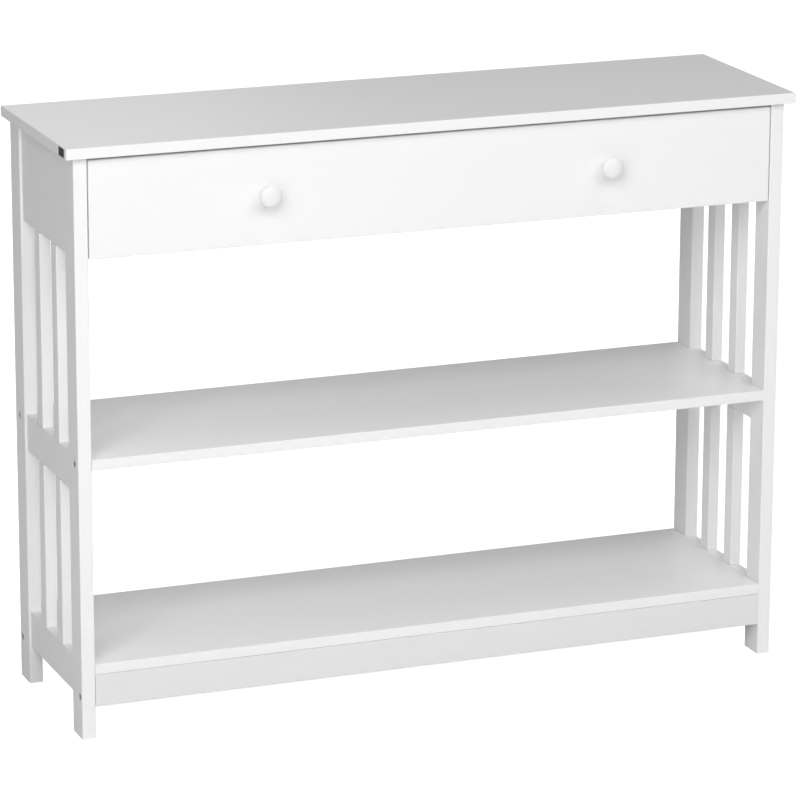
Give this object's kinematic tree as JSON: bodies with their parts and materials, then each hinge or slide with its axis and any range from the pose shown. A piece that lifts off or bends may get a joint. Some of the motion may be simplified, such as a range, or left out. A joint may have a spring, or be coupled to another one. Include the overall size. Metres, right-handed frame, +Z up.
{
  "type": "console table",
  "caption": "Narrow white console table with a full-width knobbed drawer, open shelves below and slatted side frames bolted to the shelves.",
  "frame": {"origin": "centre of the whole footprint, knobs included, at floor level", "axes": "+X to the table's right along its length, +Y from the drawer front to the back, +Z up"},
  "size_m": [1, 0.3008, 0.777],
  "materials": {
    "white_painted_wood": "smooth satin white paint",
    "drawer_board": "matt white foil",
    "drawer_hardboard": "thin white-faced board",
    "zinc_plated_steel": "bright zinc plate",
    "coated_runner_steel": "white powder coat",
    "nylon_roller": "moulded nylon",
    "dark_tag": "blank matt tag"
  },
  "bodies": {
    "frame": {"bottom_back_apron": "white_painted_wood", "bottom_front_apron": "white_painted_wood", "bottom_shelf": "white_painted_wood", "edge_tag": "dark_tag", "left_back_apron_barrel_nut": "zinc_plated_steel", "left_back_apron_bolt": "zinc_plated_steel", "left_back_leg": "white_painted_wood", "left_back_middle_shelf_barrel_nut": "zinc_plated_steel", "left_back_middle_shelf_bolt": "zinc_plated_steel", "left_cabinet_runner": "coated_runner_steel", "left_front_apron_barrel_nut": "zinc_plated_steel", "left_front_apron_bolt": "zinc_plated_steel", "left_front_leg": "white_painted_wood", "left_front_middle_shelf_barrel_nut": "zinc_plated_steel", "left_front_middle_shelf_bolt": "zinc_plated_steel", "left_lower_back_slat": "white_painted_wood", "left_lower_front_slat": "white_painted_wood", "left_lower_rail": "white_painted_wood", "left_middle_rail": "white_painted_wood", "left_top_cleat": "white_painted_wood", "left_upper_back_slat": "white_painted_wood", "left_upper_front_slat": "white_painted_wood", "left_upper_panel": "white_painted_wood", "middle_shelf": "white_painted_wood", "rear_panel": "white_painted_wood", "right_back_apron_barrel_nut": "zinc_plated_steel", "right_back_apron_bolt": "zinc_plated_steel", "right_back_leg": "white_painted_wood", "right_back_middle_shelf_barrel_nut": "zinc_plated_steel", "right_back_middle_shelf_bolt": "zinc_plated_steel", "right_cabinet_runner": "coated_runner_steel", "right_front_apron_barrel_nut": "zinc_plated_steel", "right_front_apron_bolt": "zinc_plated_steel", "right_front_leg": "white_painted_wood", "right_front_middle_shelf_barrel_nut": "zinc_plated_steel", "right_front_middle_shelf_bolt": "zinc_plated_steel", "right_lower_back_slat": "white_painted_wood", "right_lower_front_slat": "white_painted_wood", "right_lower_rail": "white_painted_wood", "right_middle_rail": "white_painted_wood", "right_top_cleat": "white_painted_wood", "right_upper_back_slat": "white_painted_wood", "right_upper_front_slat": "white_painted_wood", "right_upper_panel": "white_painted_wood", "table_top": "white_painted_wood"},
    "drawer": {"drawer_back": "drawer_board", "drawer_bottom": "drawer_hardboard", "drawer_front": "white_painted_wood", "drawer_left_side": "drawer_board", "drawer_right_side": "drawer_board", "left_drawer_runner": "coated_runner_steel", "left_knob": "white_painted_wood", "left_knob_screw": "zinc_plated_steel", "right_drawer_runner": "coated_runner_steel", "right_knob": "white_painted_wood", "right_knob_screw": "zinc_plated_steel"},
    "left_cabinet_roller": {"left_cabinet_roller": "nylon_roller"},
    "left_drawer_roller": {"left_drawer_roller": "nylon_roller"},
    "right_cabinet_roller": {"right_cabinet_roller": "nylon_roller"},
    "right_drawer_roller": {"right_drawer_roller": "nylon_roller"}
  },
  "joints": [
    {"name": "drawer_slide", "type": "slide", "parent": "frame", "child": "drawer", "axis": [0, -1, 0], "range_m": [0, 0.17]},
    {"name": "left_cabinet_roller_spin", "type": "hinge", "parent": "frame", "child": "left_cabinet_roller", "pos_m": [-0.4649, -0.0926, 0.667], "axis": [1, 0, 0], "continuous": true},
    {"name": "left_drawer_roller_spin", "type": "hinge", "parent": "drawer", "child": "left_drawer_roller", "pos_m": [-0.4624, 0.1049, 0.667], "axis": [1, 0, 0], "continuous": true},
    {"name": "right_cabinet_roller_spin", "type": "hinge", "parent": "frame", "child": "right_cabinet_roller", "pos_m": [0.4649, -0.0926, 0.667], "axis": [1, 0, 0], "continuous": true},
    {"name": "right_drawer_roller_spin", "type": "hinge", "parent": "drawer", "child": "right_drawer_roller", "pos_m": [0.4624, 0.1049, 0.667], "axis": [1, 0, 0], "continuous": true}
  ],
  "couplings": [
    {"joint": "left_cabinet_roller_spin", "follows": "drawer_slide", "rad_per_m": 95.238},
    {"joint": "left_drawer_roller_spin", "follows": "drawer_slide", "rad_per_m": 95.238},
    {"joint": "right_cabinet_roller_spin", "follows": "drawer_slide", "rad_per_m": 95.238},
    {"joint": "right_drawer_roller_spin", "follows": "drawer_slide", "rad_per_m": 95.238}
  ]
}
